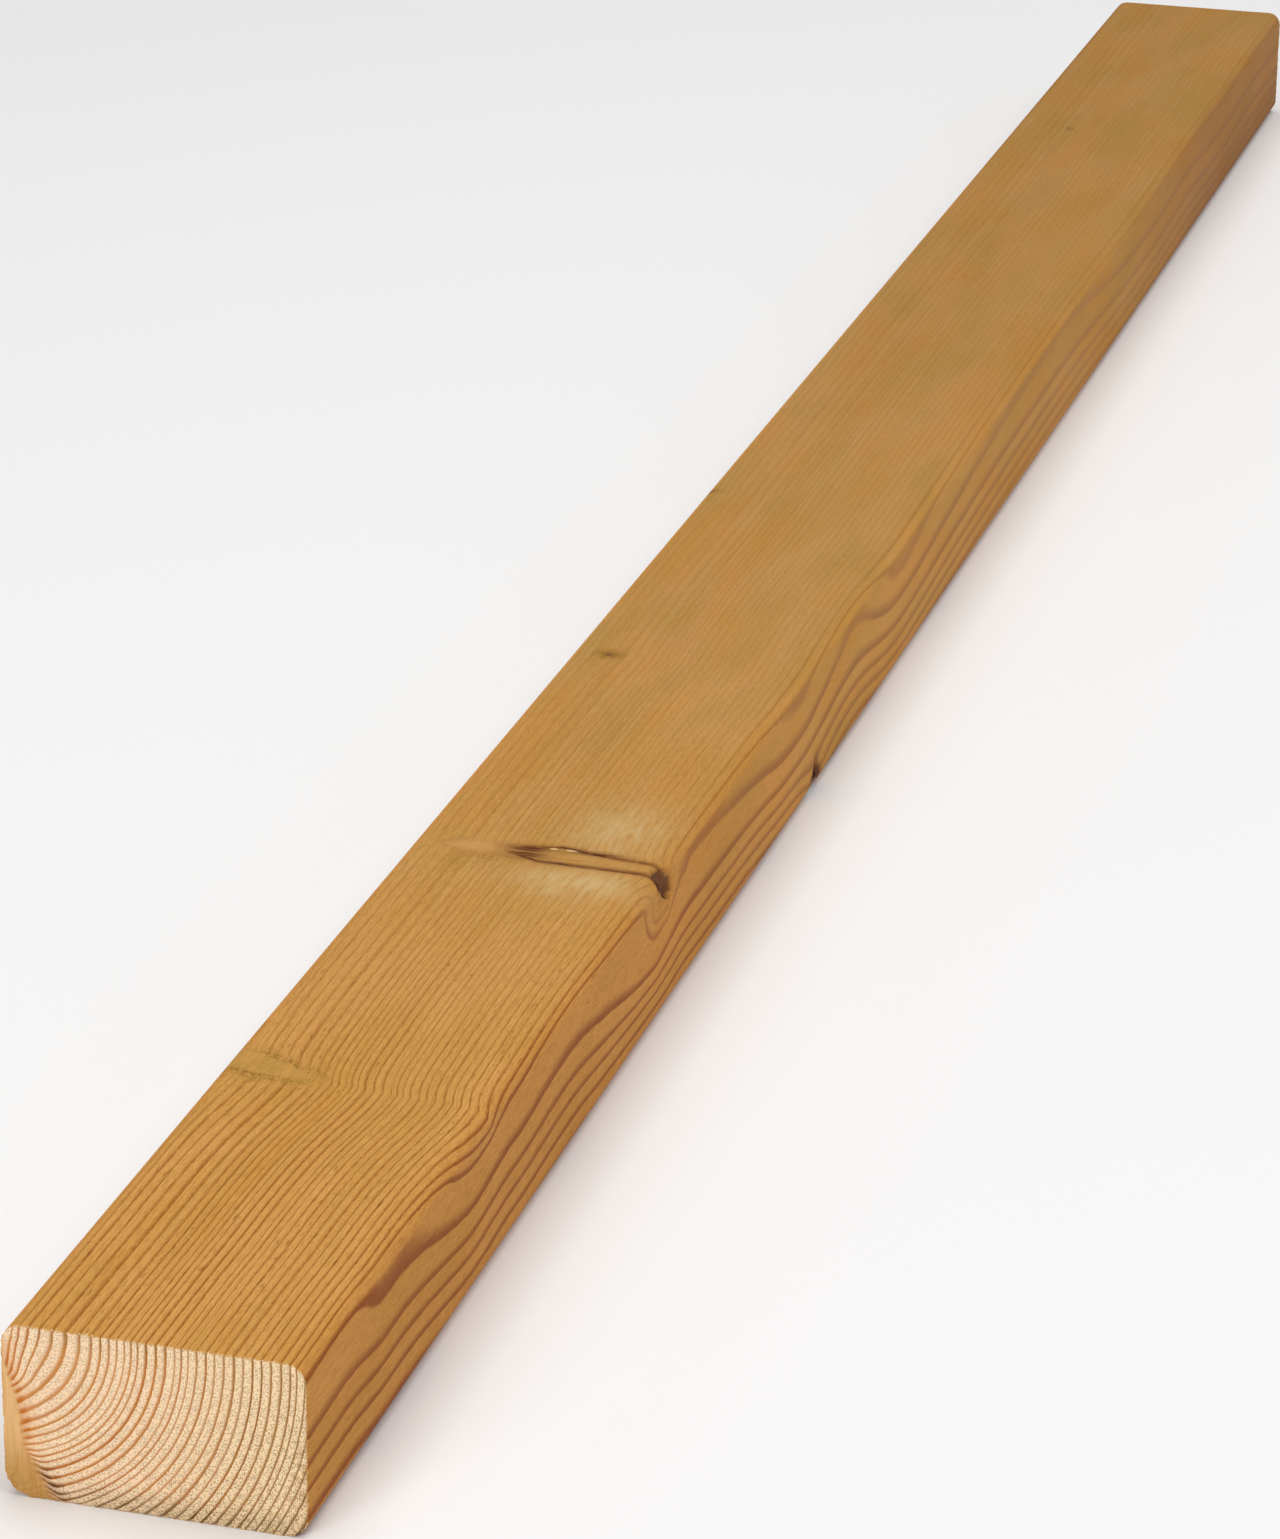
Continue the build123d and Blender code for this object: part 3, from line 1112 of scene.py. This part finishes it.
def follow_checks(x, y, z):
    """Bends the rows of the upper face so that two of them run along the checks."""
    near_path = straight(x, near_check)
    far_path = straight(x, far_check)
    up_to_near = bend_start + (y - bend_start) * (near_path - bend_start) / (near_check_row - bend_start)
    between = near_path + (y - near_check_row) * (far_path - near_path) / (far_check_row - near_check_row)
    beyond_far = bend_end - (bend_end - y) * (bend_end - far_path) / (bend_end - far_check_row)
    bent = np.where(y < near_check_row, up_to_near, np.where(y < far_check_row, between, beyond_far))
    bent = np.where((y > bend_start) & (y < bend_end), bent, y)
    share = smooth_step(z, thickness - bend_depth, thickness - bend_full_depth)
    share = share * smooth_step(x, bend_left, bend_full_left)
    return y + (bent - y) * share


def soft_lumps(x, y, z, lumps):
    """Adds up lumps of (centre, reach, strength), each full at its centre and fading over its reach."""
    total = np.zeros(len(x))
    for centre, reach, strength in lumps:
        offsets = [(value - middle) / size for value, middle, size in zip((x, y, z), centre, reach)]
        total += strength * np.exp(-sum(offset**2 for offset in offsets))
    return np.clip(total, 0.0, 1.0)


def bark_pocket(x, y, z):
    """How far each point lies inside the hollow on the upper right arris, and how near its side of black
    painted shade.
    """
    down = (thickness - z) - (width / 2 - x)
    cut_off = arris_radius * (1.0 - math.pi / 4)
    over_arris = down - cut_off * np.clip(down / arris_radius, -1.0, 1.0)
    near_arris = x > width / 2 - arris_radius - bark_pocket_reach_in
    near_arris &= z > thickness - bark_pocket_reach_down
    middle = bark_pocket_place + bark_pocket_slant * over_arris
    height = (over_arris - bark_pocket_drop) / bark_pocket_half_height
    half_width = bark_pocket_half_width * np.sqrt(np.clip(1.0 - height**2, 0.0, 1.0)) + tiny
    across = (y - middle) / half_width
    inside = np.where(near_arris, np.clip(1.0 - across**2, 0.0, 1.0), 0.0)
    return inside, smooth_step(-across, bark_pocket_painted_shade_start, bark_pocket_painted_shade_end)


def edge_pocket(x, y, z):
    """How far each point lies inside the dead knot on the lower right arris."""
    half_width = np.maximum(edge_knot_half_width - edge_knot_narrowing * z, edge_knot_tip)
    along = (y - edge_knot_place) / half_width
    up = (z - edge_knot_middle) / edge_knot_half_height
    inside = np.clip(1.0 - along**2 - up**2, 0.0, 1.0)
    return inside * smooth_step(x, width / 2 - edge_knot_reach_in, width / 2 - edge_knot_full_in)


def flat_sawn(x, z, outward):
    """How far the surface faces along the radius of the stem, where the cut runs along the rings."""
    radial = np.stack((x - pith_x, np.zeros(len(x)), z - ring_middle(x, z)), axis=1)
    radial /= np.maximum(np.linalg.norm(radial, axis=1), tiny)[:, None]
    return np.abs((radial * outward).sum(axis=1))


def carve(mesh):
    """Cuts the checks and pockets into the stock, and stores what the finishes read."""
    points = read(mesh.vertices, "co", np.float32, 3).astype(float) / MM
    x, z = points[:, 0].copy(), points[:, 2].copy()
    y = follow_checks(x, points[:, 1] - near_end, z)
    points[:, 1] = y + near_end
    outward = read(mesh.vertex_normals, "vector", np.float32, 3).astype(float)
    outward[:, 1] = 0.0
    outward /= np.maximum(np.linalg.norm(outward, axis=1), tiny)[:, None]
    end_gap = np.minimum(y, length - y)
    rim_gap = np.minimum(width / 2 - np.abs(x), thickness / 2 - np.abs(z - thickness / 2))

    gap = check_gaps(x, y, z)
    pocket, pocket_painted_shade = bark_pocket(x, y, z)
    edge = edge_pocket(x, y, z)
    hollow = check_depth * smooth_step(-gap, -check_rim, check_half_width)
    hollow = np.maximum(hollow, bark_pocket_depth * np.sqrt(pocket))
    hollow = np.maximum(hollow, edge_knot_depth * np.sqrt(edge))
    points -= outward * (hollow * (end_gap > end_slack))[:, None]

    # The wood keeps the growth of the stock, and is stained where the carved surface lies
    ring, grain, knot = grow_wood(x, y, z)
    carved_x, carved_z = points[:, 0], points[:, 2]
    # Painted shade: the near side of the bark pocket is black, and its far side is brown bark
    pocket_dark_and_shade = bark_pocket_far_side + (1.0 - bark_pocket_far_side) * pocket_painted_shade
    dark = smooth_step(pocket, 0.0, bark_pocket_dark_within) * pocket_dark_and_shade
    dark = np.maximum(dark, edge_knot_dark * smooth_step(edge, 0.0, edge_knot_dark_within))
    dark = np.maximum(dark, soft_lumps(carved_x, y, carved_z, dark_spots))
    stain_kinds = (green_stains, pale_patches, peach_patches)
    stains = [soft_lumps(carved_x, y, carved_z, lumps) for lumps in stain_kinds]
    marks = [soft_lumps(carved_x, y, carved_z, lumps) for lumps in (red_marks, bare_chips)]
    store(mesh, "ring", ring)
    store(mesh, "grain", grain)
    store(mesh, "knot", knot)
    store(mesh, "check_gap", gap)
    store(mesh, "end_gap", end_gap)
    store(mesh, "rim_gap", rim_gap)
    store(mesh, "flat_sawn", flat_sawn(carved_x, carved_z, outward))
    store(mesh, "stain", np.stack(stains, axis=1))
    store(mesh, "wound_and_shade", np.stack((dark, *marks), axis=1))
    mesh.vertices.foreach_set("co", (points * MM).astype(np.float32).ravel())
    mesh.update()


def crisp_ends(mesh):
    """Smooth shading everywhere, with a hard and ragged edge where the sawn ends meet the planed faces."""
    mesh.polygons.foreach_set("use_smooth", np.ones(len(mesh.polygons), bool))
    sawn = read(mesh.attributes["sawn"].data, "value", bool, 1)
    faces_of_edge = np.zeros((len(mesh.edges), 2), int)
    loop_edge = read(mesh.loops, "edge_index", np.int32, 1)
    face_sizes = read(mesh.polygons, "loop_total", np.int32, 1)
    loop_sawn = np.repeat(sawn, face_sizes)
    np.add.at(faces_of_edge[:, 0], loop_edge[loop_sawn], 1)
    np.add.at(faces_of_edge[:, 1], loop_edge[~loop_sawn], 1)
    on_rim = (faces_of_edge > 0).all(axis=1)
    hard = mesh.attributes.new("sharp_edge", "BOOLEAN", "EDGE")
    hard.data.foreach_set("value", on_rim)

    # Nicks where the saw tore the rim
    rim_points = np.unique(read(mesh.edges, "vertices", np.int32, 2)[on_rim])
    points = read(mesh.vertices, "co", np.float32, 3)
    rim = points[rim_points].astype(float) / MM
    dice = np.random.default_rng(saw_seed)
    tear = dice.uniform(0.0, 1.0, len(rim)) ** 2
    where_saw_left = (rim[:, 0] > width / 2 - saw_exit_reach) | (rim[:, 2] < saw_exit_reach)
    tear *= np.where(where_saw_left, saw_exit_nick, saw_entry_nick)
    tear *= np.where(rim[:, 1] > 0.0, far_end_nick, 1.0)
    middle = np.array((0.0, 0.0, thickness / 2))
    inward = middle - rim
    inward[:, 1] = -np.sign(rim[:, 1]) * np.linalg.norm(inward[:, (0, 2)], axis=1)
    rim += inward / np.linalg.norm(inward, axis=1)[:, None] * tear[:, None]
    points[rim_points] = rim * MM
    mesh.vertices.foreach_set("co", points.ravel())
    mesh.update()


def round_section(turn):
    """Share of the way round the section, from the seam, for each turn about its middle."""
    turns = np.linspace(0.0, 2 * math.pi * (1.0 + seam_overlap), outline_steps)
    angles = turns + seam_angle
    reach_x = width / 2 / np.maximum(np.abs(np.cos(angles)), tiny)
    reach_z = thickness / 2 / np.maximum(np.abs(np.sin(angles)), tiny)
    outline = np.stack((np.cos(angles), np.sin(angles)), axis=1) * np.minimum(reach_x, reach_z)[:, None]
    steps = np.linalg.norm(np.diff(outline, axis=0), axis=1)
    travelled = np.concatenate(([0.0], np.cumsum(steps)))
    return np.interp(turn, turns, travelled) / (2 * (width + thickness))


def map_for_bake(mesh):
    """Lays the sides out as one strip with the two ends beside it, for the colours baked on export."""
    points = read(mesh.vertices, "co", np.float32, 3).astype(float) / MM
    corners = read(mesh.loops, "vertex_index", np.int32, 1).reshape(-1, 4)
    x, y, z = np.moveaxis(points[corners], 2, 0)

    # A face that lies over the seam runs on past it
    turn = np.mod(np.arctan2(z - thickness / 2, x) - seam_angle, 2 * math.pi)
    over_seam = np.ptp(turn, axis=1) > math.pi
    turn = np.where(over_seam[:, None] & (turn < math.pi), turn + 2 * math.pi, turn)

    strip_across = strip_corner[0] + strip_size[0] * round_section(turn)
    strip_up = strip_corner[1] + strip_size[1] * (y - near_end) / length
    end_across = first_end_corner[0] + end_size[0] * z / thickness
    end_up = first_end_corner[1] + end_size[1] * (x / width + 0.5)
    end_up = end_up + np.where(y > 0.0, second_end_up, 0.0)
    sawn = read(mesh.attributes["sawn"].data, "value", bool, 1)[:, None]
    across = np.where(sawn, end_across, strip_across)
    up = np.where(sawn, end_up, strip_up)
    layer = mesh.uv_layers.new(name="OFBake")
    layer.uv.foreach_set("vector", np.stack((across, up), axis=2).astype(np.float32).ravel())


def make_plank():
    """The whole plank: planed stock, carved, with torn rims and a map for the bake."""
    values = {
        "Width": width * MM,
        "Thickness": thickness * MM,
        "Arris radius": arris_radius * MM,
        "Worn arris radius": worn_arris_radius * MM,
        "Cell": section_cell * MM,
        "Planed finish": planed_finish(),
        "Sawn finish": sawn_finish(),
    }
    mesh = grow_mesh("plank_wood", rows_mesh(), planed_stock_tree(), values)
    carve(mesh)
    crisp_ends(mesh)
    map_for_bake(mesh)
    plank = bpy.data.objects.new("plank_wood", mesh)
    bpy.context.scene.collection.objects.link(plank)
    return plank


plank = make_plank()
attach(plank, "root")
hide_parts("plank")


# Studio, in metres, watts and degrees, with the lens and the sensor in millimetres
floor_half = 8.0
floor_white = (0.9, 0.9, 0.9, 1.0)
floor_rough = 0.9
floor_gloss = 0.1
sky_white = (1.0, 1.0, 1.0, 1.0)
sky_strength = 0.3

# Soft lights, as (name, place, target, size, power)
softboxes = (
    ("overhead", (0.6, 0.2, 3.6), (0.0, 0.2, 0.0), 4.6, 122.0),
    ("front", (-0.6, -3.6, 1.7), (0.0, -0.9, 0.03), 1.6, 44.0),
)

# The camera, beyond the near end and above its right side, as fitted to the plank's edges in the photograph
camera_place = (0.54008, -2.30096, 0.84547)
camera_turn = 15.427
camera_down = 21.668
camera_roll = 0.636
camera_lens = 127.89
camera_sensor = 36.0


def make_floor():
    """A plain pale floor under the plank."""
    mesh = bpy.data.meshes.new("studio_floor")
    signs = ((-1, -1), (1, -1), (1, 1), (-1, 1))
    corners = [(across * floor_half, along * floor_half, 0.0) for across, along in signs]
    mesh.from_pydata(corners, [], [(0, 1, 2, 3)])
    paint = bpy.data.materials.new("studio_white")
    paint.use_nodes = True
    shader = paint.node_tree.nodes["Principled BSDF"]
    shader.inputs["Base Color"].default_value = floor_white
    shader.inputs["Roughness"].default_value = floor_rough
    shader.inputs["Specular IOR Level"].default_value = floor_gloss
    mesh.materials.append(paint)
    floor = bpy.data.objects.new("studio_floor", mesh)
    bpy.context.scene.collection.objects.link(floor)


def add_softbox(name, place, target, size, power):
    """A square soft light that points at its target."""
    lamp = bpy.data.lights.new(name, "AREA")
    lamp.shape = "SQUARE"
    lamp.size = size
    lamp.energy = power
    softbox = bpy.data.objects.new(name, lamp)
    softbox.location = place
    softbox.rotation_euler = (Vector(target) - Vector(place)).to_track_quat("-Z", "Y").to_euler()
    bpy.context.scene.collection.objects.link(softbox)


def light_studio():
    """A dim white sky and the soft lights."""
    world = bpy.data.worlds.new("studio")
    world.use_nodes = True
    sky = world.node_tree.nodes["Background"]
    sky.inputs["Color"].default_value = sky_white
    sky.inputs["Strength"].default_value = sky_strength
    bpy.context.scene.world = world
    bpy.context.scene.view_settings.view_transform = "Standard"
    for softbox in softboxes:
        add_softbox(*softbox)


def add_camera():
    """Looks along the plank as the photograph was taken."""
    camera = bpy.data.cameras.new("camera")
    camera.sensor_fit = "VERTICAL"
    camera.sensor_height = camera_sensor
    camera.lens = camera_lens
    turn = Matrix.Rotation(math.radians(camera_turn), 4, "Z")
    tilt = Matrix.Rotation(math.radians(90.0 - camera_down), 4, "X")
    roll = Matrix.Rotation(math.radians(camera_roll), 4, "Z")
    viewer = bpy.data.objects.new("camera", camera)
    viewer.matrix_world = Matrix.Translation(camera_place) @ turn @ tilt @ roll
    bpy.context.scene.collection.objects.link(viewer)
    bpy.context.scene.camera = viewer


make_floor()
light_studio()
add_camera()
